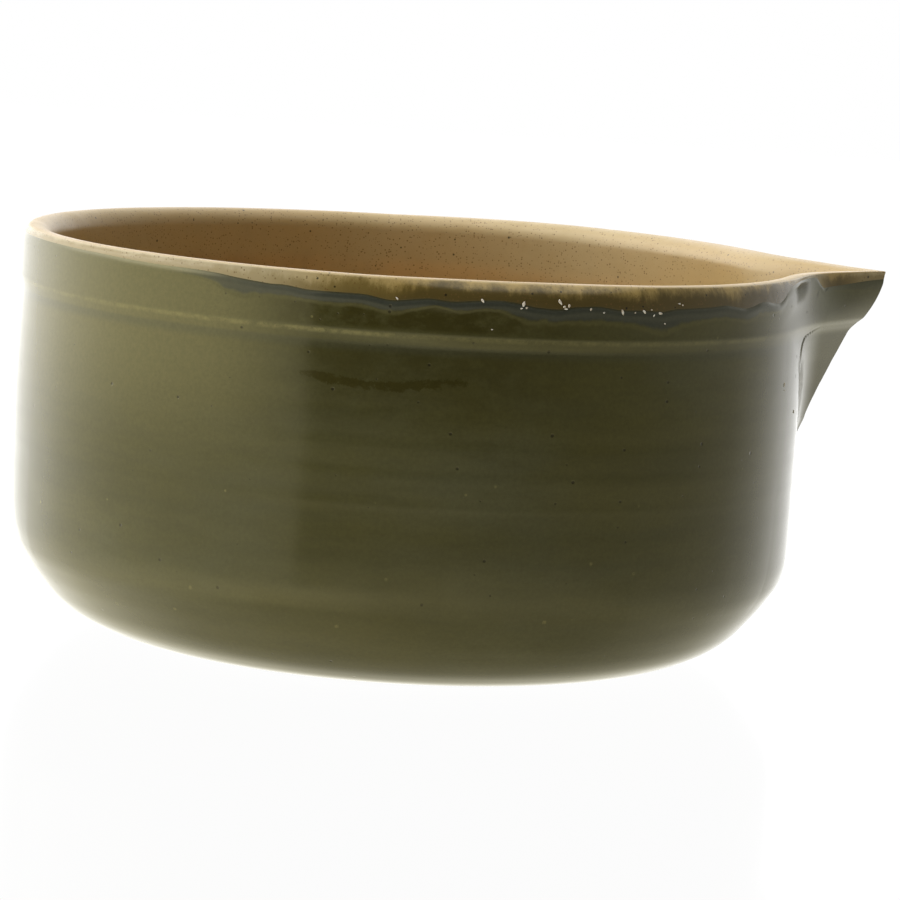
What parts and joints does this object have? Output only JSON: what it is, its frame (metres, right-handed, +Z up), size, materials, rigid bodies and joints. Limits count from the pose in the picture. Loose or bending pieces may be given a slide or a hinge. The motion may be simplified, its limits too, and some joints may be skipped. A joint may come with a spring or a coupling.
{
  "type": "pouring bowl",
  "caption": "Round glazed stoneware bowl with a raised collar under the rim, a rounded heel, a flat foot and a V-shaped pouring lip.",
  "frame": {"origin": "centre of the bare flat foot, on the surface the bowl stands on", "axes": "+Z up out of the bowl, +X towards the pouring lip, +Y across the lip, to the left when looking out over the lip"},
  "size_m": [0.265, 0.2398, 0.1235],
  "materials": {
    "stoneware": "bare fired clay, fine matt tooth",
    "olive_glaze": "glossy olive-green glaze with dark drips where it overlaps the liner",
    "tan_glaze": "glossy tan liner glaze with fine iron specks"
  },
  "bodies": {
    "root": {"bowl_body": "stoneware", "pouring_lip": "stoneware", "outside_glaze": "olive_glaze", "inside_glaze": "tan_glaze"}
  },
  "joints": []
}
